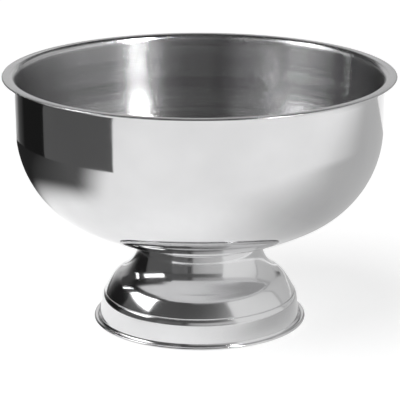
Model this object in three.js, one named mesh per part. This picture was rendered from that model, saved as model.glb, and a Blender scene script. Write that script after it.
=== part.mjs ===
// A pedestal punch bowl in spun steel sheet: an open bowl with an out-turned lip, standing on a
// waisted foot, held together by one stud and nut hidden inside the foot.
// Millimetres, +Z up. The origin is on the axis, in the plane that the foot stands on.
import * as THREE from 'three';

// ---- Driving dimensions -------------------------------------------------------------------------
const OVERALL_HEIGHT = 260;
const RIM_RADIUS = 200;
const SHEET = 1.2; // thickness of the bowl's and the foot's steel
const GAP = 0.3; // clearance between neighbouring pieces

// The bowl: a dished bottom, a round knuckle and a nearly upright wall, each tangent to the next.
const WALL_RADIUS = 187.7; // outside of the wall, where it meets the lip
const WALL_LEAN = 0.5; // degrees that the wall opens outwards
const KNUCKLE_RADIUS = 107;
const KNUCKLE_HEIGHT = 205; // where the knuckle's centre stands
const DISH_RADIUS = 272; // the bottom's own curvature
const LIP_FILLET = 5; // bend under the lip

// The foot: a neck with a slight waist, a hollow curve, a round shoulder, a crease and a skirt.
// A turn is the direction that the outer face looks: degrees upwards from level.
const WAIST_RADIUS = 65; // the steepest part of the neck
const WAIST_HEIGHT = 76.5;
const WAIST_TURN = 8;
const NECK_CURVE = 40; // both the round above the waist and the hollow below it
const NECK_BEND = 2; // tight bend into the inward flange
const FLANGE_INNER = 50;
const FLARE_START_TURN = 30;
const FLARE_RADIUS = 34;
const SHOULDER_START_TURN = 61;
const SHOULDER_RADIUS = 24;
const SIDE_START_TURN = 36;
const SIDE_RADIUS = 87;
const CREASE_HEIGHT = 28.7;
const ROLL_TURN = 40; // the skirt's rolled top, just below the crease
const ROLL_RADIUS = 12;
const SKIRT_TURN = 8;
const TOE_RADIUS = 4; // hollow bend at the skirt's lower edge
const TOE_TURN = 45;
const RING_OUTER = 110.4;
const RING_INNER = 101.4;
const RING_HEIGHT = 3.4;
const RING_SEAT = 1.6; // height of the ledge that the skirt stands on
const RING_NOSE = 1.5; // rounding of the ring's outer edge
const RING_UNDERCUT = 60; // degrees that the nose turns under
const RING_SLOPE = [0.7, 1.1]; // in from the outer edge and down from the top, where the slope starts
const RING_CROWN = [0.3, 0.9]; // half widths of the flat crown, outwards and inwards
const RING_CROWN_FALL = 0.2; // fall of the crown's inner edge

// The fixing: a stud on a welded plate, a dished clamp plate, two washers and a nut (M8).
const STUD_RADIUS = 4;
const STUD_LENGTH = 27;
const STUD_CHAMFER = 1;
const STUD_PLATE_RADIUS = 28;
const STUD_PLATE_THICK = 3;
const CLAMP_RIM = 59;
const CLAMP_SEAT = 52; // inner edge of the clamp plate's seat under the flange
const CLAMP_FLOOR_RADIUS = 20;
const CLAMP_FLOOR_HEIGHT = 66;
const CLAMP_THICK = 2.5;
const STUD_HOLE = 4.6;
const WASHER_RADIUS = 12;
const LOCK_WASHER_RADIUS = 7.2;
const WASHER_BORE = 4.4;
const WASHER_THICK = 2;
const LOCK_SPLIT = 12; // degrees left open in the lock washer
const NUT_FLATS = 13;
const NUT_HEIGHT = 6.5;

// Numbers of flat faces round a large piece and round a small one.
const LARGE_SEGMENTS = 40;
const SMALL_SEGMENTS = 24;

// ---- Outlines -----------------------------------------------------------------------------------
// An outline is a list of stations {r, z, nr, nz}: a point of the section and the direction that the
// sheet's outer face looks there. Round stretches are arcs, and a straight one joins two arcs.
const radians = THREE.MathUtils.degToRad;
const degrees = THREE.MathUtils.radToDeg;

// An arc from one direction to another, in degrees. A hollow arc faces its own centre.
function arc(centreR, centreZ, radius, from, to, steps, hollow = false) {
  const side = hollow ? -1 : 1;
  return Array.from({ length: steps + 1 }, (_, i) => {
    const angle = radians(from + ((to - from) * i) / steps);
    const nr = Math.cos(angle);
    const nz = Math.sin(angle);
    return { r: centreR + radius * nr, z: centreZ + radius * nz, nr: side * nr, nz: side * nz };
  });
}

// The centre of an arc that leaves a station tangentially, on its sheet side or, if hollow, outside.
function centreBy(station, radius, hollow = false) {
  const reach = hollow ? radius : -radius;
  return [station.r + reach * station.nr, station.z + reach * station.nz];
}

// The point at two given distances from two centres, on the far side from the axis.
function pointBetween([r1, z1], distance1, [r2, z2], distance2) {
  const span = Math.hypot(r2 - r1, z2 - z1);
  const along = (distance1 ** 2 - distance2 ** 2 + span ** 2) / (2 * span);
  const aside = Math.sqrt(distance1 ** 2 - along ** 2);
  const [ur, uz] = [(r2 - r1) / span, (z2 - z1) / span];
  return [r1 + along * ur + aside * uz, z1 + along * uz - aside * ur];
}

// A station where two arcs meet in a crease. It looks halfway between them, and its direction is
// longer than one, so that the sheet keeps its thickness on both sides.
function creaseBetween(upper, lower) {
  const share = 1 + upper.nr * lower.nr + upper.nz * lower.nz;
  const nr = (upper.nr + lower.nr) / share;
  const nz = (upper.nz + lower.nz) / share;
  return { r: upper.r, z: upper.z, nr, nz };
}

const last = (list) => list[list.length - 1];
const facePoint = ({ r, z }) => new THREE.Vector2(r, z);
const backPoint = ({ r, z, nr, nz }) => new THREE.Vector2(r - SHEET * nr, z - SHEET * nz);

// The closed section of a sheet: its outer face upwards, then its inner face back down.
function sheetSection(outline) {
  return [...outline.map(facePoint), ...outline.map(backPoint).reverse()];
}

// ---- Solids -------------------------------------------------------------------------------------
// A section turned round the Z axis. A section off the axis is closed on itself.
function turned(section, segments) {
  const offAxis = section[0].x > 0;
  const loop = offAxis ? [...section, section[0].clone()] : section;
  return new THREE.LatheGeometry(loop, segments).rotateX(Math.PI / 2);
}

function sectionPoints(pairs) {
  return pairs.map(([r, z]) => new THREE.Vector2(r, z));
}

// A flat ring of rectangular section, from its lower face up.
function flatRing(inner, outer, bottom, height, segments) {
  const top = bottom + height;
  const section = sectionPoints([[inner, bottom], [outer, bottom], [outer, top], [inner, top]]);
  return turned(section, segments);
}

const polished = new THREE.MeshStandardMaterial({ color: 0xd8d9da, metalness: 1, roughness: 0.06 });
const plated = new THREE.MeshStandardMaterial({ color: 0xb9bdbf, metalness: 1, roughness: 0.35 });

const punchBowl = new THREE.Group();

function addPart(name, geometry, material) {
  const mesh = new THREE.Mesh(geometry, material);
  mesh.name = name;
  punchBowl.add(mesh);
  return mesh;
}

// ---- The bowl -----------------------------------------------------------------------------------
// The knuckle's centre lies its own radius inside the leaning wall line.
const lean = radians(WALL_LEAN);
const drop = OVERALL_HEIGHT - KNUCKLE_HEIGHT;
const knuckleCentre = WALL_RADIUS - drop * Math.tan(lean) - KNUCKLE_RADIUS / Math.cos(lean);
const centreSpan = DISH_RADIUS - KNUCKLE_RADIUS;
const dishCentre = KNUCKLE_HEIGHT + Math.sqrt(centreSpan ** 2 - knuckleCentre ** 2);
const dishTurn = degrees(Math.asin(knuckleCentre / centreSpan));
const bowlBottom = dishCentre - DISH_RADIUS;

function bowlSection() {
  const dish = arc(0, dishCentre, DISH_RADIUS, -90, -90 + dishTurn, 4);
  const knuckle = arc(
    knuckleCentre, KNUCKLE_HEIGHT, KNUCKLE_RADIUS, -90 + dishTurn, -WALL_LEAN, 8);
  const filletZ = OVERALL_HEIGHT - SHEET - LIP_FILLET;
  const fillet = arc(WALL_RADIUS + LIP_FILLET, filletZ, LIP_FILLET, 180 - WALL_LEAN, 90, 3, true);
  const edgeRadius = SHEET / 2;
  const edgeR = RIM_RADIUS - edgeRadius;
  const edge = arc(edgeR, OVERALL_HEIGHT - edgeRadius, edgeRadius, -90, 90, 4);
  const wall = [...dish, ...knuckle.slice(1), ...fillet];
  const section = [...wall.map(facePoint), ...edge.map(facePoint)];
  section.push(...wall.map(backPoint).reverse());
  section[0].x = 0;
  last(section).x = 0;
  return section;
}

addPart('bowl_shell', turned(bowlSection(), LARGE_SEGMENTS), polished);

// ---- The foot -----------------------------------------------------------------------------------
// The height of a shell concentric with the bowl's dish, a given distance below its outside.
function underDish(below, r) {
  return dishCentre - Math.sqrt((DISH_RADIUS + below) ** 2 - r ** 2);
}

// Neck, flare, shoulder and side, from the top down to the crease.
function footBody(bendCentre, crownCentre) {
  const crownTurn = degrees(Math.atan2(
    bendCentre[1] - crownCentre[1], bendCentre[0] - crownCentre[0]));
  const crown = arc(...crownCentre, NECK_CURVE, crownTurn, WAIST_TURN, 2);
  const hollow = arc(
    ...centreBy(last(crown), NECK_CURVE, true), NECK_CURVE,
    180 + WAIST_TURN, 180 + FLARE_START_TURN, 2, true);
  const flare = arc(
    ...centreBy(last(hollow), FLARE_RADIUS, true), FLARE_RADIUS,
    180 + FLARE_START_TURN, 180 + SHOULDER_START_TURN, 3, true);
  const shoulder = arc(
    ...centreBy(last(flare), SHOULDER_RADIUS), SHOULDER_RADIUS,
    SHOULDER_START_TURN, SIDE_START_TURN, 3);
  const [sideR, sideZ] = centreBy(last(shoulder), SIDE_RADIUS);
  const sideEnd = degrees(Math.asin((CREASE_HEIGHT - sideZ) / SIDE_RADIUS));
  const side = arc(sideR, sideZ, SIDE_RADIUS, SIDE_START_TURN, sideEnd, 2);
  const stretches = [crown, hollow, flare, shoulder, side];
  return stretches.flatMap((stretch, i) => (i === 0 ? stretch : stretch.slice(1)));
}

// Roll, straight skirt and toe, from the crease down.
function skirtBody(crease) {
  const rollTop = {
    ...crease, nr: Math.cos(radians(ROLL_TURN)), nz: Math.sin(radians(ROLL_TURN)),
  };
  const roll = arc(...centreBy(rollTop, ROLL_RADIUS), ROLL_RADIUS, ROLL_TURN, SKIRT_TURN, 3);
  const toeFall = TOE_RADIUS * (Math.sin(radians(TOE_TURN)) - Math.sin(radians(SKIRT_TURN)));
  const toeEnd = RING_SEAT + GAP + SHEET * Math.sin(radians(TOE_TURN));
  const toeTop = toeEnd + toeFall;
  const skirtEnd = { ...last(roll), z: toeTop };
  skirtEnd.r += (last(roll).z - toeTop) * Math.tan(radians(SKIRT_TURN));
  const toe = arc(
    ...centreBy(skirtEnd, TOE_RADIUS, true), TOE_RADIUS, 180 + SKIRT_TURN, 180 + TOE_TURN, 2, true);
  return [...roll, ...toe];
}

function footSection() {
  const waist = {
    r: WAIST_RADIUS, z: WAIST_HEIGHT,
    nr: Math.cos(radians(WAIST_TURN)), nz: Math.sin(radians(WAIST_TURN)),
  };
  const crownCentre = centreBy(waist, NECK_CURVE);
  // The flange lies just under the dish, and a tight bend joins it to the neck.
  const flangeRadius = DISH_RADIUS + GAP;
  const bendCentre = pointBetween(
    crownCentre, NECK_CURVE - NECK_BEND, [0, dishCentre], flangeRadius + NECK_BEND);
  const bendStart = 90 + degrees(Math.atan2(bendCentre[0], dishCentre - bendCentre[1]));
  const body = footBody(bendCentre, crownCentre);
  const bendEnd = degrees(Math.atan2(body[0].nz, body[0].nr));
  const bend = arc(...bendCentre, NECK_BEND, bendStart, bendEnd, 2);
  const flangeStart = {
    r: FLANGE_INNER,
    z: underDish(GAP, FLANGE_INNER),
    nr: -FLANGE_INNER / flangeRadius,
    nz: Math.sqrt(1 - (FLANGE_INNER / flangeRadius) ** 2),
  };
  const skirt = skirtBody(last(body));
  const crease = creaseBetween(last(body), skirt[0]);
  const down = [flangeStart, ...bend, ...body.slice(1, -1), crease, ...skirt.slice(1)];
  return sheetSection(down.reverse());
}

const footOutline = footSection();
addPart('foot_shell', turned(footOutline, LARGE_SEGMENTS), polished);

// A rounded ring with a flat underside and a ledge that the skirt's edge stands on.
function ringSection() {
  const skirtFoot = footOutline[0].x + GAP;
  const crownR = (skirtFoot + RING_OUTER) / 2;
  const [slopeIn, slopeDown] = RING_SLOPE;
  const [crownOut, crownIn] = RING_CROWN;
  const nose = arc(RING_OUTER - RING_NOSE, RING_NOSE, RING_NOSE, -RING_UNDERCUT, 0, 2);
  return [
    ...sectionPoints([[RING_INNER, 0], [RING_OUTER - RING_NOSE, 0]]),
    ...nose.map(facePoint),
    ...sectionPoints([
      [RING_OUTER - slopeIn, RING_HEIGHT - slopeDown],
      [crownR + crownOut, RING_HEIGHT],
      [crownR - crownIn, RING_HEIGHT - RING_CROWN_FALL],
      [skirtFoot, RING_SEAT + GAP],
      [skirtFoot, RING_SEAT],
      [RING_INNER, RING_SEAT],
    ]),
  ];
}

addPart('base_ring', turned(ringSection(), LARGE_SEGMENTS), polished);

// ---- The fixing inside the foot -----------------------------------------------------------------
const plateBottom = bowlBottom - GAP - STUD_PLATE_THICK;

function studPlateSection() {
  const edge = degrees(Math.asin(STUD_PLATE_RADIUS / (DISH_RADIUS + GAP)));
  const top = arc(0, dishCentre, DISH_RADIUS + GAP, -90 + edge, -90, 3).map(facePoint);
  last(top).x = 0;
  return [...sectionPoints([[0, plateBottom], [STUD_PLATE_RADIUS, plateBottom]]), ...top];
}

addPart('stud_plate', turned(studPlateSection(), SMALL_SEGMENTS), plated);

function studSection() {
  const top = plateBottom - GAP;
  const end = top - STUD_LENGTH;
  const tip = [[0, end], [STUD_RADIUS - STUD_CHAMFER, end], [STUD_RADIUS, end + STUD_CHAMFER]];
  return sectionPoints([...tip, [STUD_RADIUS, top], [0, top]]);
}

addPart('fixing_stud', turned(studSection(), SMALL_SEGMENTS), plated);

function clampSection() {
  const seat = SHEET + 2 * GAP;
  const upper = sectionPoints([
    [CLAMP_RIM, underDish(seat, CLAMP_RIM)],
    [CLAMP_SEAT, underDish(seat, CLAMP_SEAT)],
    [CLAMP_FLOOR_RADIUS, CLAMP_FLOOR_HEIGHT],
    [STUD_HOLE, CLAMP_FLOOR_HEIGHT],
  ]);
  const lower = upper.map((p) => new THREE.Vector2(p.x, p.y - CLAMP_THICK)).reverse();
  return [...lower, ...upper];
}

addPart('clamp_plate', turned(clampSection(), LARGE_SEGMENTS), plated);

const washerBottom = CLAMP_FLOOR_HEIGHT - CLAMP_THICK - GAP - WASHER_THICK;
addPart(
  'flat_washer',
  flatRing(WASHER_BORE, WASHER_RADIUS, washerBottom, WASHER_THICK, SMALL_SEGMENTS), plated);

// A ring with a slit, drawn as one closed outline and given its thickness.
function lockWasher() {
  const half = radians(LOCK_SPLIT / 2);
  const outline = new THREE.Shape();
  outline.absarc(0, 0, LOCK_WASHER_RADIUS, half, 2 * Math.PI - half, false);
  outline.absarc(0, 0, WASHER_BORE, 2 * Math.PI - half, half, true);
  const options = { depth: WASHER_THICK, bevelEnabled: false, curveSegments: SMALL_SEGMENTS };
  return new THREE.ExtrudeGeometry(outline, options);
}

const lockBottom = washerBottom - GAP - WASHER_THICK;
addPart('lock_washer', lockWasher(), plated).position.z = lockBottom;

function hexNut() {
  const cornerRadius = NUT_FLATS / Math.sqrt(3);
  const corners = Array.from({ length: 6 }, (_, i) => {
    const angle = radians(60 * i);
    return new THREE.Vector2(cornerRadius * Math.cos(angle), cornerRadius * Math.sin(angle));
  });
  const outline = new THREE.Shape(corners);
  const bore = new THREE.Path();
  bore.absarc(0, 0, WASHER_BORE, 0, 2 * Math.PI, true);
  outline.holes.push(bore);
  const options = { depth: NUT_HEIGHT, bevelEnabled: false, curveSegments: SMALL_SEGMENTS };
  return new THREE.ExtrudeGeometry(outline, options);
}

addPart('fixing_nut', hexNut(), plated).position.z = lockBottom - GAP - NUT_HEIGHT;

export default punchBowl;
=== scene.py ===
"""The looks of a pedestal punch bowl in polished steel: fine spun surfaces, a satin inside, the
fixing under the foot, and a pale studio round it. All lengths are metres."""

import math

import bpy
import numpy as np
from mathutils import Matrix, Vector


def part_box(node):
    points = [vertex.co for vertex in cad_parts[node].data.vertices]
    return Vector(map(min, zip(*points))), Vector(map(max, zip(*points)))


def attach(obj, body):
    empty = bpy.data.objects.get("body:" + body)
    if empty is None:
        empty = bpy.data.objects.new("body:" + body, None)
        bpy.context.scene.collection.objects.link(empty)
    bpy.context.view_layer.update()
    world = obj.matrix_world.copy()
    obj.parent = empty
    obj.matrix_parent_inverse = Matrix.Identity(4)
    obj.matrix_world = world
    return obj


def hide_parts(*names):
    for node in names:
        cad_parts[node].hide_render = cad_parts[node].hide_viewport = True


bl_info = {
    "name": "Pedestal Punch Bowl",
    "version": (1, 0, 0),
    "blender": (4, 5, 0),
    "location": "View3D > Sidebar > Punch Bowl",
    "description": "Builds a spun steel punch bowl on its foot, with a pale studio",
    "category": "Object",
}

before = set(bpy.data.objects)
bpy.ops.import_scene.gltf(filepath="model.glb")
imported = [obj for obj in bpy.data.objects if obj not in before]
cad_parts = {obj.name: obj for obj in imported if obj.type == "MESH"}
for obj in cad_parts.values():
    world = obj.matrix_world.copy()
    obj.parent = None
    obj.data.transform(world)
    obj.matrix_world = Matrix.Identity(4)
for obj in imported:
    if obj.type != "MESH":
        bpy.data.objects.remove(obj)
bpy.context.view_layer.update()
BOWL_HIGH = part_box("bowl_shell")[1]
FOOT_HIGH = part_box("foot_shell")[1]
RING_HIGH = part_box("base_ring")[1]
PLATE_LOW, PLATE_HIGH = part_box("stud_plate")
STUD_LOW, STUD_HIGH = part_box("fixing_stud")
CLAMP_LOW, CLAMP_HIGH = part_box("clamp_plate")
WASHER_LOW, WASHER_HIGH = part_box("flat_washer")
LOCK_LOW, LOCK_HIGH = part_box("lock_washer")
NUT_LOW, NUT_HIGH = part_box("fixing_nut")

BODY = "root"
TAU = 2 * math.pi
QUARTER = math.pi / 2
STUDIO_RADIUS = 7.0  # of the floor, and of the backdrop round it
STUDIO_SIDES = 96
BACKDROP_HEIGHT = 6.0
DAYLIGHT_SPREAD, DAYLIGHT_TILT, DAYLIGHT_LEAN = 50, 14, -24  # degrees: broad, from the front left
RING_SHARE, BAND_SHARE = 0.55, 0.45  # parts of the fine rings and the broad bands in the satin
PANEL_CENTRE = 0.15  # height of the point that the panels' elevations are seen from
PANEL_LOWEST = 0.002  # no panel reaches below this height
SOFT_SIDES = [[0.0, 1.0, 1.0, 1.0, 1.0, 1.0, 0.0]]  # cover of a card that fades out at its two sides


# ---- Settings -----------------------------------------------------------------------------------
def length(name, description, default):
    """A length property, in metres."""
    return bpy.props.FloatProperty(
        name=name, description=description, default=default, min=0.0, precision=4, unit="LENGTH")


def angle(name, description, degrees):
    """An angle property, given in degrees and kept in radians."""
    return bpy.props.FloatProperty(
        name=name, description=description, default=math.radians(degrees), unit="ROTATION")


def share(name, description, default):
    """A plain number from nought to one."""
    return bpy.props.FloatProperty(
        name=name, description=description, default=default, min=0.0, max=1.0, precision=3)


def amount(name, description, default):
    """A plain number of any size above nought."""
    return bpy.props.FloatProperty(
        name=name, description=description, default=default, min=0.0, precision=3)


def colour(name, description, default):
    """A linear colour."""
    return bpy.props.FloatVectorProperty(
        name=name, description=description, default=default, size=3, subtype="COLOR",
        min=0.0, max=1.0)


class PunchBowlSizes(bpy.types.PropertyGroup):
    """The bowl's own radii and bends."""

    sheet: length("Sheet", "Thickness of the steel", 0.0012)
    wall_radius: length("Wall radius", "Outside of the wall where it meets the lip", 0.1877)
    wall_lean: angle("Wall lean", "How far the wall opens outwards", 0.5)
    knuckle_radius: length("Knuckle radius", "Bend between the wall and the bottom", 0.107)
    knuckle_height: length("Knuckle height", "Height of the knuckle's centre", 0.205)
    dish_radius: length("Dish radius", "Curvature of the bottom", 0.272)
    lip_fillet: length("Lip bend", "Bend under the lip", 0.005)
    lip_droop: length("Lip droop", "How far the lip's edge is below its crown", 0.0003)


class PunchBowlFootSizes(bpy.types.PropertyGroup):
    """The foot's radii and bends. A turn is the direction that the face looks, up from level."""

    gap: length("Gap", "Clearance between neighbouring pieces", 0.0003)
    waist_radius: length("Waist radius", "Outside of the neck where it is steepest", 0.065)
    waist_height: length("Waist height", "Height where the neck is steepest", 0.0765)
    waist_turn: angle("Waist turn", "Turn of the neck at its waist", 8)
    neck_curve: length("Neck curve", "Round above the waist and hollow below it", 0.040)
    neck_bend: length("Neck bend", "Bend from the neck into its flange", 0.002)
    flange_inner: length("Flange radius", "Inner edge of the inward flange", 0.05)
    flare_turn: angle("Flare turn", "Turn where the neck's hollow widens into the flare", 30)
    flare_radius: length("Flare radius", "Hollow curve under the neck", 0.034)
    shoulder_turn: angle("Shoulder turn", "Turn where the flare meets the shoulder", 61)
    shoulder_radius: length("Shoulder radius", "Round shoulder", 0.024)
    side_turn: angle("Side turn", "Turn where the side takes over from the shoulder", 36)
    side_radius: length("Side radius", "Lower side of the shoulder", 0.087)
    crease_height: length("Crease height", "Height of the crease over the skirt", 0.0287)
    crease_depth: length("Crease depth", "Depth of the fine groove in the crease", 0.0004)
    crease_width: length("Crease width", "Half width of the fine groove", 0.00035)
    roll_turn: angle("Roll turn", "Turn of the skirt's rolled top", 40)
    roll_radius: length("Roll radius", "Rolled top of the skirt", 0.012)
    skirt_turn: angle("Skirt turn", "Turn of the straight skirt", 8)
    toe_turn: angle("Toe turn", "Turn at the skirt's lower edge", 45)
    toe_radius: length("Toe radius", "Hollow bend at the skirt's lower edge", 0.004)
    ring_seat: length("Ring seat", "Height of the ring's ledge under the skirt", 0.0016)
    ring_inner: length("Ring radius", "Inner edge of the ring", 0.1014)


class PunchBowlFixingSizes(bpy.types.PropertyGroup):
    """The stud, nut, washers and plates inside the foot."""

    thread_pitch: length("Thread pitch", "Pitch of the coarse thread", 0.00125)
    thread_depth: length("Thread depth", "Depth of the thread", 0.0007)
    washer_bore: length("Washer bore", "Radius of the washers' holes", 0.0044)
    stud_hole: length("Stud hole", "Radius of the clamp plate's hole", 0.0046)
    clamp_thick: length("Clamp plate", "Thickness of the clamp plate", 0.0025)
    clamp_seat: length("Clamp seat", "Inner edge of the clamp plate's seat", 0.052)
    clamp_floor: length("Clamp floor", "Radius of the clamp plate's flat middle", 0.02)
    lock_split: angle("Lock split", "Opening in the lock washer", 12)
    lock_rise: length("Lock rise", "How far one end of the lock washer stands over the other", 0.0004)
    washer_round: length("Washer edge", "Rounding of the washers' and the plate's edges", 0.0004)
    welds: bpy.props.IntProperty(name="Welds", description="Spot welds in the stud plate", default=6)
    weld_circle: length("Weld circle", "Radius of the circle that the welds lie on", 0.021)
    weld_radius: length("Weld radius", "Size of a weld's hollow", 0.0022)
    weld_depth: length("Weld depth", "Depth of a weld's hollow", 0.0004)


class PunchBowlFinishes(bpy.types.PropertyGroup):
    """Colours and polish."""

    steel: colour("Steel", "Colour of the polished steel", (0.72, 0.72, 0.725))
    steel_worn: colour("Worn steel", "Colour where the polish is thinner", (0.66, 0.66, 0.665))
    satin: colour("Satin steel", "Colour of the steel inside the bowl", (0.64, 0.64, 0.645))
    satin_ring: colour("Satin rings", "Colour of the darker spinning rings", (0.46, 0.46, 0.465))
    fixing: colour("Fixing", "Colour of the plated fixings", (0.50, 0.51, 0.52))
    fixing_dull: colour("Dull fixing", "Colour of the plating where it has dulled", (0.36, 0.37, 0.38))
    polish: share("Polish", "Roughness of the mirror outside", 0.045)
    foot_polish: share("Foot polish", "Roughness of the foot, which is finished less finely", 0.10)
    haze: share("Haze", "How much rougher the mirror is where it is handled", 0.05)
    brushing: share("Brushing", "Roughness of the satin inside", 0.24)
    lip_brushing: share("Lip brushing", "Roughness of the lip's top", 0.22)
    grain: share("Grain", "How one-sided the gloss of the satin inside is", 1.0)
    groove_pitch: length("Groove pitch", "Spacing of the satin's own grooves", 0.0001)
    groove_tip: amount("Groove tip", "Slope of the grooves' sides", 0.45)
    ring_pitch: length("Ring pitch", "Spacing of the fine spinning rings", 0.0011)


class PunchBowlStage(bpy.types.PropertyGroup):
    """The camera, floor and lights."""

    lens: bpy.props.FloatProperty(
        name="Lens", description="Focal length in millimetres", default=183.0)
    pitch: angle("Pitch", "How far the camera looks down", 16.313)
    away: length("Distance", "Camera's level distance from the axis", 2.0156)
    height: length("Height", "Camera's height over the floor", 0.7148)
    shift: bpy.props.FloatProperty(
        name="Shift", description="Sideways lens shift", default=0.0012, precision=4)
    floor: colour("Floor", "Colour of the floor", (0.80, 0.80, 0.80))
    floor_glow: amount("Floor glow", "Light that the floor gives by itself", 0.74)
    sun: amount("Daylight", "Strength of the broad light on the floor", 1.15)
    backdrop: amount("Backdrop", "Brightness of the far wall", 0.97)
    room: amount("Room", "Brightness of the dim room above", 0.05)


SETTINGS = {
    "punch_bowl_sizes": PunchBowlSizes,
    "punch_bowl_foot": PunchBowlFootSizes,
    "punch_bowl_fixing": PunchBowlFixingSizes,
    "punch_bowl_finishes": PunchBowlFinishes,
    "punch_bowl_stage": PunchBowlStage,
}


# ---- Sections -----------------------------------------------------------------------------------
def arc(centre, radius, start, end, steps, hollow=False):
    """Stations (r, z, nr, nz) along an arc: centre plus radius times the direction of an angle that
    runs from start to end. The face looks away from the centre, or to it where the arc is hollow."""
    turn = np.linspace(start, end, steps + 1)
    look = np.stack([np.cos(turn), np.sin(turn)], axis=1)
    return np.hstack([np.asarray(centre) + radius * look, -look if hollow else look])


def centre_by(station, radius, hollow=False):
    """The centre of an arc that leaves a station tangentially: its radius behind the face, or in
    front of it where the arc is hollow."""
    return station[:2] + (radius if hollow else -radius) * station[2:]


def point_between(first, first_distance, second, second_distance):
    """The point at two given distances from two centres, on the side away from the axis."""
    first, second = np.asarray(first), np.asarray(second)
    span = np.hypot(*(second - first))
    unit = (second - first) / span
    along = (first_distance ** 2 - second_distance ** 2 + span ** 2) / (2 * span)
    aside = math.sqrt(first_distance ** 2 - along ** 2)
    return first + along * unit + aside * np.array([unit[1], -unit[0]])


def turn_of(station):
    """The direction that a station's face looks, up from level."""
    return math.atan2(station[3], station[2])


def straight(first, second, steps):
    """Stations evenly along the line from one station to another, without the two ends."""
    part = np.linspace(0, 1, steps + 1)[1:-1, None]
    return first + part * (second - first)


def sheet_loop(face, thickness, edge_steps=6):
    """The closed section of a sheet from its face: up the face, round a half-circle edge, down the
    back, which is the face moved inwards by the thickness, and round the other edge."""
    inner = face[:, :2] - thickness * face[:, 2:]
    loops = []
    for near, normal, side in ((face[-1], face[-1, 2:], 1), (face[0], face[0, 2:], -1)):
        middle = near[:2] - thickness / 2 * normal
        along = np.array([-normal[1], normal[0]]) * side
        turn = np.linspace(0, math.pi, edge_steps + 1)[1:-1, None]
        start = normal * side
        loops.append(middle + thickness / 2 * (np.cos(turn) * start * side + np.sin(turn) * along))
    return np.vstack([face[:, :2], loops[0], inner[::-1], loops[1][::-1]])


# ---- Meshes -------------------------------------------------------------------------------------
def collection():
    """Where every new object goes."""
    return bpy.context.scene.collection


def new_mesh(name, verts, faces, smooth=True):
    """A mesh object at the origin from arrays of points and a list of faces."""
    mesh = bpy.data.meshes.new(name)
    mesh.from_pydata(np.asarray(verts, float).tolist(), [], faces)
    mesh.polygons.foreach_set("use_smooth", np.full(len(mesh.polygons), smooth))
    mesh.update()
    made = bpy.data.objects.new(name, mesh)
    collection().objects.link(made)
    return made


def grid_faces(rows, columns, closed_rows):
    """Quads of a grid whose columns always close on themselves, and whose rows may."""
    first = np.arange(rows if closed_rows else rows - 1)[:, None]
    across = np.arange(columns)[None, :]
    above = (first + 1) % rows
    beside = (across + 1) % columns
    corners = [first * columns + across, first * columns + beside,
               above * columns + beside, above * columns + across]
    return np.stack(np.broadcast_arrays(*corners), axis=-1).reshape(-1, 4)


def turned(name, section, turns, wobble=None):
    """A section turned about the Z axis: x = r cos a, y = r sin a, for a all the way round. A
    section that starts and ends on the axis has its two ends closed by a fan of triangles. The
    wobble, if there is one, gives each point a new radius and height from its own and its angle."""
    section = np.asarray(section, float)
    on_axis = section[0, 0] < 1e-9
    rings = section[1:-1] if on_axis else section
    around = np.arange(turns) * TAU / turns
    radius = np.repeat(rings[:, :1], turns, axis=1)
    height = np.repeat(rings[:, 1:2], turns, axis=1)
    if wobble is not None:
        radius, height = wobble(radius, height, around[None, :])
    points = np.stack([radius * np.cos(around), radius * np.sin(around), height], axis=-1)
    verts = points.reshape(-1, 3)
    faces = grid_faces(len(rings), turns, not on_axis).tolist()
    if on_axis:
        low, high = len(verts), len(verts) + 1
        poles = [[0, 0, section[0, 1]], [0, 0, section[-1, 1]]]
        verts = np.vstack([verts, poles])
        here = np.arange(turns)
        beside = (here + 1) % turns
        last = (len(rings) - 1) * turns
        faces += np.stack([np.full(turns, low), beside, here], axis=1).tolist()
        faces += np.stack([last + here, last + beside, np.full(turns, high)], axis=1).tolist()
    return new_mesh(name, verts, faces)


def finish_piece(piece, material, slot, *nodes):
    """Gives a piece its material, puts it under its body's empty and hides the parts that it takes the
    place of.
    """
    piece.data.materials.append(material)
    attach(piece, BODY)
    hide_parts(*nodes)
    return piece


# ---- Bowl ---------------------------------------------------------------------------------------
def dish_centre(sizes):
    """Centre of the bottom's arc and the angle where the knuckle takes over. The knuckle's centre
    is its radius inside the leaning wall line, and the two arcs touch."""
    drop = BOWL_HIGH.z - sizes.knuckle_height
    lean = sizes.wall_lean
    across = sizes.wall_radius - drop * math.tan(lean) - sizes.knuckle_radius / math.cos(lean)
    span = sizes.dish_radius - sizes.knuckle_radius
    height = sizes.knuckle_height + math.sqrt(span ** 2 - across ** 2)
    return height, across, math.asin(across / span)


def bowl_section(sizes):
    """The bowl's section: dish arc, knuckle arc, straight wall, hollow bend and level lip, then the
    same a sheet's thickness inside. The lip sinks with the square of the way to its edge."""
    centre, across, turn = dish_centre(sizes)
    dish = arc((0, centre), sizes.dish_radius, -QUARTER, -QUARTER + turn, 40)
    knuckle = arc((across, sizes.knuckle_height), sizes.knuckle_radius,
                  -QUARTER + turn, -sizes.wall_lean, 44)
    fillet_z = BOWL_HIGH.z - sizes.sheet - sizes.lip_fillet
    fillet = arc((sizes.wall_radius + sizes.lip_fillet, fillet_z), sizes.lip_fillet,
                 math.pi - sizes.wall_lean, QUARTER, 10, hollow=True)
    edge = np.array([BOWL_HIGH.x - sizes.sheet / 2, BOWL_HIGH.z - sizes.sheet, 0.0, -1.0])
    wall = straight(knuckle[-1], fillet[0], 10)
    lip = straight(fillet[-1], edge, 6)
    face = np.vstack([dish, knuckle[1:], wall, fillet, lip, edge])
    section = sheet_loop(face, sizes.sheet)[:-5]
    way = np.clip((section[:, 0] - fillet[-1, 0]) / (edge[0] - fillet[-1, 0]), 0, 1)
    section[:, 1] -= sizes.lip_droop * way ** 2
    section[[0, -1], 0] = 0
    return section


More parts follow.
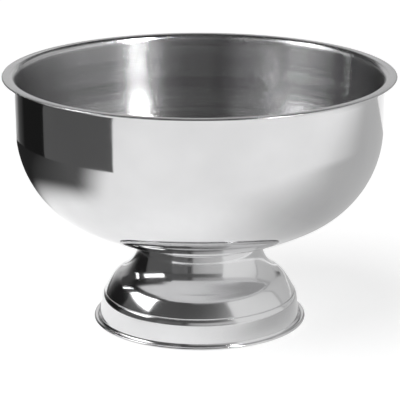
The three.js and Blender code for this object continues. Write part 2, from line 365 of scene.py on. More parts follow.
def build_bowl(context):
    """The bowl's section turned about the axis, mirror outside and satin inside."""
    sizes = context.scene.punch_bowl_sizes
    finishes = context.scene.punch_bowl_finishes
    piece = turned("spun_bowl", bowl_section(sizes), 256)
    mark_satin(piece, sizes)
    mirror = mirror_steel(finishes, "bowl_mirror", finishes.polish)
    finish_piece(piece, mirror, "bowl_steel", "bowl_shell")
    piece.data.materials.append(
        satin_steel(finishes, "inside_satin", finishes.brushing, finishes.grain))
    piece.data.materials.append(satin_steel(finishes, "lip_satin", finishes.lip_brushing, 0.0))
    return piece


def mark_satin(piece, sizes):
    """Marks the faces that look to the axis or up as the satin inside, and those of them near the
    rim that look up as the lip's top, whose satin has no direction."""
    mesh = piece.data
    count = len(mesh.polygons)
    centres = np.empty(count * 3)
    normals = np.empty(count * 3)
    mesh.polygons.foreach_get("center", centres)
    mesh.polygons.foreach_get("normal", normals)
    centres = centres.reshape(-1, 3)
    normals = normals.reshape(-1, 3)
    outward = (centres[:, :2] * normals[:, :2]).sum(axis=1)
    above = np.array(centres[:, 2] > BOWL_HIGH.z - 3 * sizes.lip_fillet)
    inside = (outward < 0) | (normals[:, 2] > np.where(above, 0.02, 0.2))
    lip = inside & above & (normals[:, 2] > 0.3)
    mesh.polygons.foreach_set("material_index", inside.astype(np.int32) + lip)


# ---- Foot ---------------------------------------------------------------------------------------
def under_dish(sizes, below, r):
    """Height at radius r of a sphere that lies a distance below the bowl's outside."""
    centre = dish_centre(sizes)[0]
    return centre - np.sqrt((sizes.dish_radius + below) ** 2 - np.square(r))


def foot_body(foot, bend_centre, crown_centre):
    """The foot's face from the top of the neck down to the crease: a round, two hollows that open
    out, a round shoulder and a long side, each arc tangent to the one before."""
    crown_turn = math.atan2(*(bend_centre - crown_centre)[::-1])
    crown = arc(crown_centre, foot.neck_curve, crown_turn, foot.waist_turn, 14)
    hollow = arc(centre_by(crown[-1], foot.neck_curve, True), foot.neck_curve,
                 math.pi + foot.waist_turn, math.pi + foot.flare_turn, 14, hollow=True)
    flare = arc(centre_by(hollow[-1], foot.flare_radius, True), foot.flare_radius,
                math.pi + foot.flare_turn, math.pi + foot.shoulder_turn, 18, hollow=True)
    shoulder = arc(centre_by(flare[-1], foot.shoulder_radius), foot.shoulder_radius,
                   foot.shoulder_turn, foot.side_turn, 14)
    side_centre = centre_by(shoulder[-1], foot.side_radius)
    side_end = math.asin((foot.crease_height - side_centre[1]) / foot.side_radius)
    fine = 4 * foot.crease_width / foot.side_radius
    side = arc(side_centre, foot.side_radius, foot.side_turn, side_end + fine, 12)
    brink = arc(side_centre, foot.side_radius, side_end + fine, side_end, 8)
    return np.vstack([crown, hollow[1:], flare[1:], shoulder[1:], side[1:], brink[1:]])


def skirt_body(sizes, foot, crease):
    """The foot's face from the crease down: a rolled top, a straight skirt and a hollow toe."""
    look = [math.cos(foot.roll_turn), math.sin(foot.roll_turn)]
    centre = centre_by(np.concatenate([crease[:2], look]), foot.roll_radius)
    fine = 4 * foot.crease_width / foot.roll_radius
    brink = arc(centre, foot.roll_radius, foot.roll_turn, foot.roll_turn - fine, 8)
    roll = arc(centre, foot.roll_radius, foot.roll_turn - fine, foot.skirt_turn, 12)
    toe_fall = foot.toe_radius * (math.sin(foot.toe_turn) - math.sin(foot.skirt_turn))
    toe_top = foot.ring_seat + foot.gap + sizes.sheet * math.sin(foot.toe_turn) + toe_fall
    fall = roll[-1, 1] - toe_top
    skirt_end = roll[-1] + np.array([fall * math.tan(foot.skirt_turn), -fall, 0, 0])
    toe = arc(centre_by(skirt_end, foot.toe_radius, True), foot.toe_radius,
              math.pi + foot.skirt_turn, math.pi + foot.toe_turn, 8, hollow=True)
    return np.vstack([brink[1:], roll[1:], straight(roll[-1], skirt_end, 8), toe])


def foot_face(sizes, foot):
    """The foot's outer face from the flange's inner edge down to the skirt's lower edge. The crease
    is a groove whose depth falls with the square of the distance from it, as a bell curve does."""
    centre = np.array([0.0, dish_centre(sizes)[0]])
    near = sizes.dish_radius + foot.gap
    look = np.array([math.cos(foot.waist_turn), math.sin(foot.waist_turn)])
    crown_centre = np.array([foot.waist_radius, foot.waist_height]) - foot.neck_curve * look
    bend_centre = point_between(crown_centre, foot.neck_curve - foot.neck_bend,
                                centre, near + foot.neck_bend)
    touch = math.atan2(bend_centre[0], centre[1] - bend_centre[1])
    start = math.asin(foot.flange_inner / near)
    flange = arc(centre, near, -QUARTER + start, -QUARTER + touch, 8, hollow=True)
    body = foot_body(foot, bend_centre, crown_centre)
    bend = arc(bend_centre, foot.neck_bend, QUARTER + touch, turn_of(body[0]), 10)
    skirt = skirt_body(sizes, foot, body[-1])
    face = np.vstack([flange, bend[1:], body[1:], skirt])
    crease = len(flange) + len(bend) + len(body) - 3
    steps = np.hypot(*np.diff(face[:, :2], axis=0).T)
    along = np.concatenate([[0], np.cumsum(steps)])
    depth = foot.crease_depth * np.exp(-((along - along[crease]) / foot.crease_width) ** 2)
    return face, depth


def build_foot(context):
    """The foot's face with its crease sunk along its own direction, made a sheet and turned."""
    sizes = context.scene.punch_bowl_sizes
    foot = context.scene.punch_bowl_foot
    finishes = context.scene.punch_bowl_finishes
    face, depth = foot_face(sizes, foot)
    grooved = face.copy()
    grooved[:, :2] -= depth[:, None] * face[:, 2:]
    piece = turned("spun_foot", sheet_loop(grooved[::-1], sizes.sheet), 240)
    steel = mirror_steel(finishes, "foot_mirror", finishes.foot_polish)
    return finish_piece(piece, steel, "foot_steel", "foot_shell")


def build_ring(context):
    """The ring's section: a flat underside, a round nose and crown outside the skirt, and a ledge
    under it."""
    foot = context.scene.punch_bowl_foot
    finishes = context.scene.punch_bowl_finishes
    skirt = FOOT_HIGH.x + foot.gap
    outer = RING_HIGH.x
    nose, crown_base = 0.0013, 0.0015
    low = arc((outer - nose, nose), nose, -QUARTER, 0, 6)[:, :2]
    crown_r = (outer - skirt) / 2
    half = np.linspace(0, math.pi, 19)[:, None]
    middle = np.array([skirt + crown_r, crown_base])
    crown = middle + np.hstack([crown_r * np.cos(half), (RING_HIGH.z - crown_base) * np.sin(half)])
    ledge = np.array([[skirt, foot.ring_seat], [foot.ring_inner, foot.ring_seat]])
    bottom = np.array([[foot.ring_inner, 0.0]])
    section = np.vstack([bottom, low, crown[1:-1], ledge])
    piece = turned("foot_ring", section, 240)
    steel = mirror_steel(finishes, "ring_mirror", finishes.foot_polish)
    return finish_piece(piece, steel, "foot_steel", "base_ring")


# ---- Fixing -------------------------------------------------------------------------------------
def rounded_section(inner, outer, low, high, bevel, steps=4):
    """A rectangle with four rounded corners, each a quarter circle of the bevel's radius."""
    corners = ((outer - bevel, low + bevel, -QUARTER), (outer - bevel, high - bevel, 0.0),
               (inner + bevel, high - bevel, QUARTER), (inner + bevel, low + bevel, math.pi))
    return np.vstack([arc((r, z), bevel, turn, turn + QUARTER, steps)[:, :2]
                      for r, z, turn in corners])


def thread(pitch, depth):
    """The fall of a thread below its crest: a triangle wave of the height less one pitch a turn."""
    def fall(height, around):
        phase = (height / pitch - around / TAU) % 1.0
        return depth * np.abs(2 * phase - 1)
    return fall


def build_stud_plate(sizes, foot, fixing, steel):
    """A pressed plate under the bowl, its top on the bowl's own curve, with a round lower edge and
    spot welds: small hollows evenly spaced on one circle, each a bell curve."""
    outer, low = PLATE_HIGH.x, PLATE_LOW.z
    bevel = fixing.washer_round
    lower = arc((outer - bevel, low + bevel), bevel, -QUARTER, 0, 6)[:, :2]
    across = np.linspace(outer, 0, 24)[:, None]
    upper = np.hstack([across, under_dish(sizes, foot.gap, across)])
    flat = np.stack([np.linspace(0, outer - bevel, 40), np.full(40, low)], axis=1)
    section = np.vstack([flat[:-1], lower, upper])

    def welds(radius, height, around):
        spot = np.abs((around * fixing.welds / TAU) % 1.0 - 0.5) * TAU / fixing.welds
        gap2 = (radius - fixing.weld_circle) ** 2 + (radius * spot) ** 2
        hollow = fixing.weld_depth * np.exp(-gap2 / fixing.weld_radius ** 2)
        return radius, height + np.where(height < low + bevel / 2, hollow, 0)

    piece = turned("pressed_plate", section, 120, welds)
    return finish_piece(piece, steel, "fixing_steel", "stud_plate")


def build_stud(fixing, steel):
    """A stud with a full-length thread that fades out at its chamfered tip and at its shoulder."""
    radius, low, high = STUD_HIGH.x, STUD_LOW.z, STUD_HIGH.z
    chamfer = fixing.thread_depth * 1.4
    rows = np.linspace(low + chamfer, high, 260)
    side = np.stack([np.full(len(rows), radius), rows], axis=1)
    section = np.vstack([[[0, low], [radius - chamfer, low]], side, [[0, high]]])
    fall = thread(fixing.thread_pitch, fixing.thread_depth)

    def cut(across, height, around):
        ends = np.clip(np.minimum(height - low, high - height) / (2 * fixing.thread_pitch), 0, 1)
        groove = ends * fall(height, around)
        return across - np.where(across > radius - chamfer / 2, groove, 0), height

    piece = turned("threaded_stud", section, 48, cut)
    return finish_piece(piece, steel, "fixing_steel", "fixing_stud")


def build_clamp(sizes, foot, fixing, steel):
    """The dished plate under the foot's flange: a flat middle, a cone and a seat, one thickness
    throughout, its heights averaged with a bell-shaped weight so that no bend is sharp."""
    seat = sizes.sheet + 2 * foot.gap
    knots = np.array([fixing.stud_hole, fixing.clamp_floor, fixing.clamp_seat, CLAMP_HIGH.x])
    heights = np.array([CLAMP_LOW.z + fixing.clamp_thick] * 2
                       + [under_dish(sizes, seat, r) for r in knots[2:]])
    r = np.linspace(knots[0], knots[-1], 120)
    z = np.interp(r, knots, heights)
    width = 9  # rows on each side that a bend is spread over
    beyond = z[-1] + (z[-1] - z[-2]) * np.arange(1, width + 1)
    padded = np.concatenate([np.full(width, z[0]), z, beyond])
    kernel = np.hanning(2 * width + 3)[1:-1]
    z = np.minimum(np.convolve(padded, kernel / kernel.sum(), mode="valid"), CLAMP_HIGH.z)
    top = np.stack([r, z], axis=1)
    below = top - [0, fixing.clamp_thick]
    bead, bulge = fixing.clamp_thick / 2, 0.0006  # half axes of the rounded edges
    rim_z, hole_z = top[-1, 1] - bead, top[0, 1] - bead
    turn = np.linspace(-QUARTER, QUARTER, 9)[1:-1, None]
    rounding = np.hstack([bulge * np.cos(turn), bead * np.sin(turn)])
    rim = [r[-1] - bulge, rim_z] + rounding
    hole = [r[0] + bulge, hole_z] - rounding
    top, below = top[2:-2], below[2:-2]
    section = np.vstack([below, rim, top[::-1], hole])
    piece = turned("dished_clamp", section, 160)
    return finish_piece(piece, steel, "fixing_steel", "clamp_plate")


def build_washers(fixing, steel):
    """A plain washer, and a split one that rises evenly with the angle from one end of its split to
    the other, so it is a short helix with its two ends closed."""
    flat = rounded_section(fixing.washer_bore, WASHER_HIGH.x, WASHER_LOW.z, WASHER_HIGH.z,
                           fixing.washer_round)
    finish_piece(turned("plain_washer", flat, 96), steel, "fixing_steel", "flat_washer")
    rise = fixing.lock_rise
    section = rounded_section(fixing.washer_bore, LOCK_HIGH.x, LOCK_LOW.z,
                              LOCK_HIGH.z - rise, fixing.washer_round / 2)
    rows = len(section)
    half = fixing.lock_split / 2
    turns = 97
    around = np.linspace(half, TAU - half, turns)[:, None]
    lift = rise * (around - half) / (TAU - 2 * half)
    radius, height = section[None, :, 0], section[None, :, 1] + lift
    points = np.stack([radius * np.cos(around), radius * np.sin(around),
                       height + 0 * radius], axis=-1).reshape(-1, 3)
    first = np.arange(turns - 1)[:, None] * rows + np.arange(rows)[None, :]
    beside = np.arange(turns - 1)[:, None] * rows + (np.arange(rows)[None, :] + 1) % rows
    quads = np.stack([first, first + rows, beside + rows, beside], axis=-1).reshape(-1, 4).tolist()
    caps = [list(range(rows)), list(range((turns - 1) * rows, turns * rows))[::-1]]
    piece = new_mesh("split_washer", points, quads + caps)
    finish_piece(piece, steel, "fixing_steel", "lock_washer")


def build_nut(fixing, steel):
    """A hexagon nut: the outside is a hexagon, r = apothem / cos of the angle from the middle of its
    flat, cut back at both ends by a cone, and the bore is threaded."""
    low, high = NUT_LOW.z, NUT_HIGH.z
    apothem, corner = NUT_HIGH.y, NUT_HIGH.x
    inner, depth = fixing.washer_bore, fixing.thread_depth / 3
    side_rows, bore_rows, cone_slope = 40, 60, 2.2
    outside = np.stack([np.full(side_rows, corner), np.linspace(low, high, side_rows)], axis=1)
    bore = np.stack([np.full(bore_rows, inner), np.linspace(high, low, bore_rows)], axis=1)
    faces = np.linspace(inner, corner, 10)[1:-1]
    under = np.stack([faces, np.full(len(faces), low)], axis=1)
    over = np.stack([faces[::-1], np.full(len(faces), high)], axis=1)
    section = np.vstack([under, outside, over, bore])
    fall = thread(fixing.thread_pitch, depth)

    def cut(radius, height, around):
        flat = (around + TAU / 12) % (TAU / 6) - TAU / 12
        hexagon = apothem / np.cos(TAU / 12 - np.abs(flat))
        cone = apothem + cone_slope * np.minimum(height - low, high - height)
        limit = np.minimum(hexagon, cone)
        thinned = inner + (radius - inner) * ((limit - inner) / (corner - inner))
        threaded = inner - depth + fall(height, around)
        return np.where(radius > inner + 1e-6, thinned, threaded), height

    piece = turned("hexagon_nut", section, 180, cut)
    finish_piece(piece, steel, "fixing_steel", "fixing_nut")


def build_fixing(context):
    """Everything that holds the foot to the bowl, in one plated finish."""
    sizes = context.scene.punch_bowl_sizes
    foot = context.scene.punch_bowl_foot
    fixing = context.scene.punch_bowl_fixing
    steel = plated_steel(context.scene.punch_bowl_finishes)
    build_stud_plate(sizes, foot, fixing, steel)
    build_stud(fixing, steel)
    build_clamp(sizes, foot, fixing, steel)
    build_washers(fixing, steel)
    build_nut(fixing, steel)


# ---- Materials ----------------------------------------------------------------------------------
def new_material(name):
    """A material whose shader starts as a metal, with its nodes, links and shader."""
    made = bpy.data.materials.new(name)
    made.use_nodes = True
    nodes = made.node_tree.nodes
    shader = nodes["Principled BSDF"]
    shader.inputs["Metallic"].default_value = 1.0
    return made, nodes, made.node_tree.links, shader


def add(nodes, kind, **values):
    """A node with some of its inputs or settings given by name."""
    made = nodes.new("ShaderNode" + kind)
    for name, value in values.items():
        label = name.replace("_", " ")
        if label in made.inputs:
            made.inputs[label].default_value = value
        else:
            setattr(made, name, value)
    return made


def height_noise(nodes, links, pitch, detail):
    """Noise in thin level layers: the height is divided by the pitch and the level directions are
    left in metres, so it changes far faster up a piece than round it, and makes rings."""
    place = add(nodes, "TexCoord")
    scale = add(nodes, "Mapping")
    scale.inputs["Scale"].default_value = (1, 1, 1 / pitch)
    noise = add(nodes, "TexNoise", Scale=1.0, Detail=detail, Roughness=0.6)
    links.new(place.outputs["Object"], scale.inputs["Vector"])
    links.new(scale.outputs["Vector"], noise.inputs["Vector"])
    return noise.outputs["Fac"]


def cloud_noise(nodes, links, size, detail):
    """Soft patches about as large as the given size."""
    place = add(nodes, "TexCoord")
    noise = add(nodes, "TexNoise", Scale=1 / size, Detail=detail, Roughness=0.5)
    links.new(place.outputs["Object"], noise.inputs["Vector"])
    return noise.outputs["Fac"]


def spread(nodes, links, value, low, high, start=0.3, end=0.7):
    """A value carried from one range to another and held at its ends."""
    made = add(nodes, "MapRange", clamp=True)
    for name, number in (("From Min", start), ("From Max", end), ("To Min", low), ("To Max", high)):
        made.inputs[name].default_value = number
    links.new(value, made.inputs["Value"])
    return made.outputs["Result"]


def blend_colours(nodes, links, factor, first, second):
    """A colour part of the way from the first to the second."""
    made = add(nodes, "Mix", data_type="RGBA")
    made.inputs[6].default_value = (*first, 1)
    made.inputs[7].default_value = (*second, 1)
    links.new(factor, made.inputs[0])
    return made.outputs[2]


def bumped(nodes, links, height, depth, strength):
    """The surface's direction as a height pattern tips it."""
    made = add(nodes, "Bump", Strength=strength, Distance=depth)
    links.new(height, made.inputs["Height"])
    return made.outputs["Normal"]


def mirror_steel(finishes, name, polish):
    """Polished steel: faint spinning rings that bend reflections a little, and patches where handling
    has hazed the polish and dulled the colour."""
    made, nodes, links, shader = new_material(name)
    patches = cloud_noise(nodes, links, 0.07, 3.0)
    rings = height_noise(nodes, links, finishes.ring_pitch, 2.0)
    worn = spread(nodes, links, patches, 0.0, 1.0)
    tint = blend_colours(nodes, links, worn, finishes.steel, finishes.steel_worn)
    links.new(tint, shader.inputs["Base Color"])
    gloss = spread(nodes, links, patches, polish, polish + finishes.haze)
    links.new(gloss, shader.inputs["Roughness"])
    links.new(bumped(nodes, links, rings, 0.00002, 0.10), shader.inputs["Normal"])
    return made


def satin_steel(finishes, name, brushing, grain):
    """Satin steel: fine rings of lighter and darker metal. Where it has a grain, the gloss is drawn
    out across the rings, so that each light becomes an upright streak."""
    made, nodes, links, shader = new_material(name)
    rings = height_noise(nodes, links, finishes.ring_pitch, 3.0)
    bands = height_noise(nodes, links, finishes.ring_pitch * 9, 2.0)
    mixed = add(nodes, "Math", operation="MULTIPLY_ADD")
    mixed.inputs[1].default_value = RING_SHARE
    links.new(rings, mixed.inputs[0])
    weight = add(nodes, "Math", operation="MULTIPLY")
    weight.inputs[1].default_value = BAND_SHARE
    links.new(bands, weight.inputs[0])
    links.new(weight.outputs[0], mixed.inputs[2])
    shade = spread(nodes, links, mixed.outputs[0], 0.0, 1.0, 0.38, 0.62)
    links.new(blend_colours(nodes, links, shade, finishes.satin, finishes.satin_ring),
              shader.inputs["Base Color"])
    rough = spread(nodes, links, mixed.outputs[0], brushing - 0.03, brushing + 0.03)
    links.new(rough, shader.inputs["Roughness"])
    shader.inputs["Anisotropic"].default_value = grain
    shader.inputs["Anisotropic Rotation"].default_value = 0.25
    way = add(nodes, "Tangent", direction_type="RADIAL", axis="Z")
    links.new(way.outputs["Tangent"], shader.inputs["Tangent"])
    links.new(grooved_normal(nodes, links, finishes), shader.inputs["Normal"])
    return made


def grooved_normal(nodes, links, finishes):
    """The surface's direction tipped up or down by a different amount in each fine groove: the sum
    of the true direction and a level-ring noise of the height times the Z axis, made unit length."""
    place = add(nodes, "TexCoord")
    apart = add(nodes, "SeparateXYZ")
    count = add(nodes, "Math", operation="MULTIPLY")
    count.inputs[1].default_value = 1 / finishes.groove_pitch
    noise = add(nodes, "TexNoise", noise_dimensions="1D", Scale=1.0, Detail=1.0, Roughness=0.5)
    swing = spread(nodes, links, noise.outputs["Fac"], -finishes.groove_tip, finishes.groove_tip,
                   0.2, 0.8)
    tip = add(nodes, "CombineXYZ")
    true_way = add(nodes, "NewGeometry")
    total = add(nodes, "VectorMath", operation="ADD")
    unit = add(nodes, "VectorMath", operation="NORMALIZE")
    links.new(place.outputs["Object"], apart.inputs[0])
    links.new(apart.outputs["Z"], count.inputs[0])
    links.new(count.outputs[0], noise.inputs["W"])
    links.new(swing, tip.inputs["Z"])
    links.new(true_way.outputs["Normal"], total.inputs[0])
    links.new(tip.outputs[0], total.inputs[1])
    links.new(total.outputs[0], unit.inputs[0])
    return unit.outputs[0]


def plated_steel(finishes):
    """Plated fixings: a dull grey that varies in small patches, rougher where it is duller."""
    made, nodes, links, shader = new_material("plated_steel")
    grain = cloud_noise(nodes, links, 0.004, 6.0)
    shade = blend_colours(nodes, links, spread(nodes, links, grain, 0.0, 1.0),
                          finishes.fixing, finishes.fixing_dull)
    links.new(shade, shader.inputs["Base Color"])
    links.new(spread(nodes, links, grain, 0.30, 0.48), shader.inputs["Roughness"])
    links.new(bumped(nodes, links, grain, 0.0001, 0.3), shader.inputs["Normal"])
    return made


# ---- Stage --------------------------------------------------------------------------------------
def build_camera(stage):
    """A camera on the near side of the axis that looks down at the bowl."""
    data = bpy.data.cameras.new("camera")
    data.sensor_width = 36
    data.lens = stage.lens
    data.shift_x = stage.shift
    data.clip_end = 100
    camera = bpy.data.objects.new("camera", data)
    camera.location = (0, -stage.away, stage.height)
    camera.rotation_euler = (QUARTER - stage.pitch, 0, 0)
    collection().objects.link(camera)
    bpy.context.scene.camera = camera


def glow_material(name, light, strength):
    """A surface that only gives light."""
    made = bpy.data.materials.new(name)
    made.use_nodes = True
    nodes = made.node_tree.nodes
    nodes.clear()
    out = nodes.new("ShaderNodeOutputMaterial")
    glow = nodes.new("ShaderNodeEmission")
    glow.inputs["Color"].default_value = (*light, 1)
    glow.inputs["Strength"].default_value = strength
    made.node_tree.links.new(glow.outputs[0], out.inputs["Surface"])
    return made


def studio_edge(height):
    """Points evenly round the studio's edge, all at one height."""
    turn = np.arange(STUDIO_SIDES) * TAU / STUDIO_SIDES
    return np.stack([STUDIO_RADIUS * np.cos(turn), STUDIO_RADIUS * np.sin(turn),
                     np.full(STUDIO_SIDES, height)], axis=1)


def build_floor(stage):
    """A round pale floor that also glows, so that it stays pale where little light falls."""
    floor = new_mesh("studio_floor", studio_edge(0.0), [list(range(STUDIO_SIDES))], smooth=False)
    made, _, _, shader = new_material("studio_floor")
    shader.inputs["Metallic"].default_value = 0.0
    shader.inputs["Roughness"].default_value = 0.9
    shader.inputs["Specular IOR Level"].default_value = 0.0
    shader.inputs["Base Color"].default_value = (*stage.floor, 1)
    shader.inputs["Emission Color"].default_value = (1, 1, 1, 1)
    shader.inputs["Emission Strength"].default_value = stage.floor_glow
    floor.data.materials.append(made)


def build_daylight(stage):
    """A broad soft light on the floor. The steel doesn't mirror it."""
    data = bpy.data.lights.new("daylight", "SUN")
    data.energy = stage.sun
    data.angle = math.radians(DAYLIGHT_SPREAD)
    light = bpy.data.objects.new("daylight", data)
    light.rotation_euler = (math.radians(DAYLIGHT_TILT), math.radians(DAYLIGHT_LEAN), 0)
    light.visible_glossy = False
    collection().objects.link(light)


def build_backdrop(stage):
    """A tall pale wall round the floor's edge, seen by the camera alone, so that the floor has no
    dark horizon behind it."""
    levels = np.vstack([studio_edge(0.0), studio_edge(BACKDROP_HEIGHT)])
    wall = new_mesh("backdrop", levels, grid_faces(2, STUDIO_SIDES, False).tolist(), smooth=False)
    wall.data.materials.append(glow_material("backdrop", (1, 1, 1), stage.backdrop))
    wall.visible_glossy = False
    wall.visible_diffuse = False
    wall.visible_shadow = False


def graded_glow():
    """Light as strong as the card's own brightness, and seen through where its cover is thin."""
    made = glow_material("graded_glow", (1, 1, 1), 1.0)
    nodes, links = made.node_tree.nodes, made.node_tree.links
    glow = next(node for node in nodes if node.type == "EMISSION")
    out = next(node for node in nodes if node.type == "OUTPUT_MATERIAL")
    level = add(nodes, "Attribute", attribute_name="brightness")
    cover = add(nodes, "Attribute", attribute_name="cover")
    clear = add(nodes, "BsdfTransparent")
    mixed = add(nodes, "MixShader")
    links.new(level.outputs["Fac"], glow.inputs["Strength"])
    links.new(cover.outputs["Fac"], mixed.inputs["Fac"])
    links.new(clear.outputs[0], mixed.inputs[1])
    links.new(glow.outputs[0], mixed.inputs[2])
    links.new(mixed.outputs[0], out.inputs["Surface"])
    return made


def stretched(table, rows, columns):
    """A small table of numbers blended linearly up to a grid of rows and columns."""
    table = np.atleast_2d(np.asarray(table, float))
    along = np.linspace(0, table.shape[1] - 1, columns)
    up = np.linspace(0, table.shape[0] - 1, rows)
    wide = np.stack([np.interp(along, np.arange(table.shape[1]), row) for row in table])
    return np.stack([np.interp(up, np.arange(table.shape[0]), column) for column in wide.T],
                    axis=1)


def card(name, points, brightness, cover, material):
    """A light card from a grid of points. Its brightness and cover are tables, from its lower
    edge up and from left to right. It lights nothing but what mirrors it."""
    rows, columns = points.shape[:2]
    first = np.arange(rows - 1)[:, None] * columns + np.arange(columns - 1)[None, :]
    faces = np.stack([first, first + 1, first + columns + 1, first + columns],
                     axis=-1).reshape(-1, 4)
    made = new_mesh(name, points.reshape(-1, 3), faces.tolist(), smooth=False)
    for label, table in (("brightness", brightness), ("cover", cover)):
        layer = made.data.attributes.new(label, "FLOAT", "POINT")
        layer.data.foreach_set("value", stretched(table, rows, columns).ravel().astype(np.float32))
    made.data.materials.append(material)
    made.visible_camera = False
    made.visible_shadow = False
    made.visible_diffuse = False
    return made


def panel(name, azimuths, elevations, brightness, distance, material, top=None, cover=1.0):
    """A card bent round the bowl: x = d sin a, y = -d cos a, z = c + d tan e for azimuth a and
    elevation e in degrees, at one distance d from the axis. Azimuth nought is towards the camera
    and positive to the right. The azimuths of its top edge may differ from those of its foot."""
    rows, columns = 17, 33
    part = np.linspace(0, 1, rows)[:, None]
    low = np.linspace(*azimuths, columns)[None, :]
    high = np.linspace(*(top or azimuths), columns)[None, :]
    turn = np.radians(low + part * (high - low))
    rise = np.radians(elevations[0] + part * (elevations[1] - elevations[0]))
    height = np.maximum(PANEL_CENTRE + distance * np.tan(rise), PANEL_LOWEST) + 0 * turn
    points = np.stack([distance * np.sin(turn), -distance * np.cos(turn), height], axis=-1)
    return card(name, points, brightness, cover, material)


def ramp(value, start, end):
    """Nought up to start, one past end, and the smooth step 3t^2 - 2t^3 between them."""
    part = np.clip((value - start) / (end - start), 0, 1)
    return part * part * (3 - 2 * part)


def right_cover(x, y):
    """Shade on the right: thick behind and to the side, gone in front and far out."""
    return ramp(y, -0.45, -0.05) * ramp(x, 0.0, 0.2) * ramp(x - 0.6 * y, 1.15, 0.65)


def left_cover(x, y):
    """Shade on the left: it starts a little outside the bowl's wall and fades out to the front."""
    round_to_left = np.degrees(np.arctan2(-x, -y))
    return ramp(np.hypot(x, y), 0.25, 0.43) * ramp(round_to_left, 48, 72) * ramp(-x, 0.10, 0.30)


def floor_shade(name, xs, ys, height, brightness, cover, material):
    """A level card just over the floor, which only the steel sees: the shade between lit parts. Its
    cover is a function of x and y."""
    x, y = np.meshgrid(np.linspace(*xs, 33), np.linspace(*ys, 33))
    points = np.stack([x, y, np.full_like(x, height)], axis=-1)
    return card(name, points, brightness, cover(x, y), material)


def build_lights():
    """The studio that the steel mirrors: a dark flag on the left with a black edge behind it, a broad
    pale wall on the right, a dim front, softboxes above, and shade on the floor at both sides."""
    glow = graded_glow()
    panel("front_left", (-48, -11), (-4.5, 20), [[0.16, 0.14, 0.20]], 0.95, glow)
    panel("front_gap", (-20, -14), (0, 20), [[0.05, 0.10, 0.05]], 0.93, glow)
    panel("front_wall", (-11, 41), (-4.5, 20), [[0.42, 0.58, 0.62]], 0.95, glow)
    panel("front_dusk", (-60, 41), (20, 62),
          [[0.11, 0.10, 0.10, 0.12, 0.20, 0.42], [0.08, 0.08, 0.07, 0.08, 0.10, 0.16]], 0.95, glow)
    panel("right_wall", (41, 112), (-3, 52), [[0.92, 0.90, 0.86], [0.92, 0.88, 0.70]], 2.3, glow)
    panel("right_dusk", (108, 158), (-3, 44), [[0.70, 0.55]], 2.4, glow, cover=SOFT_SIDES)
    panel("back_wall", (140, 216), (-3, 9), [[0.60, 0.45, 0.60]], 2.5, glow, cover=SOFT_SIDES)
    panel("lip_band", (163, 197), (9, 24), [[0.80]], 2.3, glow)
    panel("left_dusk", (-160, -126), (-12, 14), [[0.90, 0.45, 0.08, 0.012]], 0.76, glow,
          cover=[[0.0, 0.9, 1.0, 1.0]])
    panel("black_edge", (-126, -99.5), (-12, 14), [[0.012]], 0.75, glow)
    panel("side_flag", (-99.5, -47.5), (-12, 16), [[0.11]], 0.74, glow)
    panel("side_softbox", (-108, -66), (24, 49), [[2.9]], 2.0, glow)
    # These hang high, where the bowl hides them from the foot, and are for the inside.
    panel("key_strip", (50, 67), (50, 59), [[110.0]], 0.90, glow)
    panel("right_haze", (63, 125), (50, 58), [[0.2, 0.2, 0.2, 0.3, 1.5, 0.4, 1.2, 0.2]], 0.90, glow)
    panel("left_haze", (-79, -30), (50, 58), [[2.0, 1.6, 1.4, 1.9, 1.6]], 0.90, glow)
    panel("left_strip", (-121, -79), (50, 58), [[12.0, 20.0, 10.0, 1.0]], 0.90, glow)
    # A narrow strip above the black edge, for one thin upright line.
    panel("gap_strip", (-121.5, -120.5), (16, 34), [[14.0]], 0.90, glow)
    floor_shade("right_shade", (0.0, 1.2), (-0.45, 0.75), 0.0006, 0.55, right_cover, glow)
    floor_shade("left_shade", (-0.80, -0.10), (-0.56, 0.70), 0.0008, [[0.11], [0.11], [0.02], [0.02]],
                left_cover, glow)


def build_world(stage):
    """An even, dim room outside the cards."""
    world = bpy.data.worlds.new("room")
    world.use_nodes = True
    world.node_tree.nodes["Background"].inputs["Color"].default_value = (1, 1, 1, 1)
    world.node_tree.nodes["Background"].inputs["Strength"].default_value = stage.room
    bpy.context.scene.world = world


def build_stage(context):
    """The camera and all that the steel mirrors or stands on."""
    stage = context.scene.punch_bowl_stage
    context.scene.view_settings.view_transform = "Standard"
    build_camera(stage)
    build_world(stage)
    build_floor(stage)
    build_backdrop(stage)
    build_daylight(stage)
    build_lights()


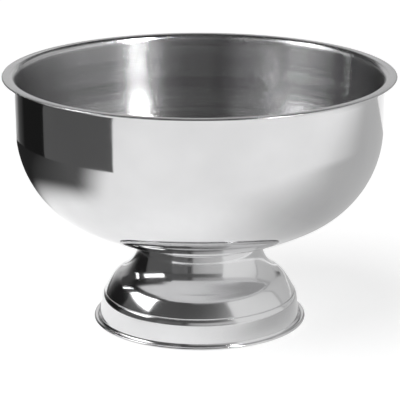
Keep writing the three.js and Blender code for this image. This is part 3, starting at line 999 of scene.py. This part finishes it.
# ---- Operators ----------------------------------------------------------------------------------
class PUNCHBOWL_OT_stage(bpy.types.Operator):
    """Makes the camera, the floor and the lights"""

    bl_idname = "punch_bowl.stage"
    bl_label = "Stage"

    def execute(self, context):
        build_stage(context)
        return {"FINISHED"}


class PUNCHBOWL_OT_bowl(bpy.types.Operator):
    """Spins the bowl with its lip"""

    bl_idname = "punch_bowl.bowl"
    bl_label = "Bowl"

    def execute(self, context):
        build_bowl(context)
        return {"FINISHED"}


class PUNCHBOWL_OT_foot(bpy.types.Operator):
    """Spins the foot and its ring"""

    bl_idname = "punch_bowl.foot"
    bl_label = "Foot"

    def execute(self, context):
        build_foot(context)
        build_ring(context)
        return {"FINISHED"}


class PUNCHBOWL_OT_fixing(bpy.types.Operator):
    """Makes the stud, its plate, the clamp plate, the washers and the nut"""

    bl_idname = "punch_bowl.fixing"
    bl_label = "Fixing"

    def execute(self, context):
        build_fixing(context)
        return {"FINISHED"}


class PUNCHBOWL_PT_panel(bpy.types.Panel):
    """Lists the pieces"""

    bl_idname = "PUNCHBOWL_PT_panel"
    bl_label = "Punch Bowl"
    bl_space_type = "VIEW_3D"
    bl_region_type = "UI"
    bl_category = "Punch Bowl"

    def draw(self, context):
        for operator in OPERATORS:
            self.layout.operator(operator.bl_idname)


OPERATORS = (PUNCHBOWL_OT_stage, PUNCHBOWL_OT_bowl, PUNCHBOWL_OT_foot, PUNCHBOWL_OT_fixing)
CLASSES = (*SETTINGS.values(), *OPERATORS, PUNCHBOWL_PT_panel)


def register():
    for cls in CLASSES:
        bpy.utils.register_class(cls)
    for name, group in SETTINGS.items():
        setattr(bpy.types.Scene, name, bpy.props.PointerProperty(type=group))


def unregister():
    for name in SETTINGS:
        delattr(bpy.types.Scene, name)
    for cls in reversed(CLASSES):
        bpy.utils.unregister_class(cls)


def main():
    register()
    bpy.ops.punch_bowl.stage()
    bpy.ops.punch_bowl.bowl()
    bpy.ops.punch_bowl.foot()
    bpy.ops.punch_bowl.fixing()


if __name__ == "__main__":
    main()
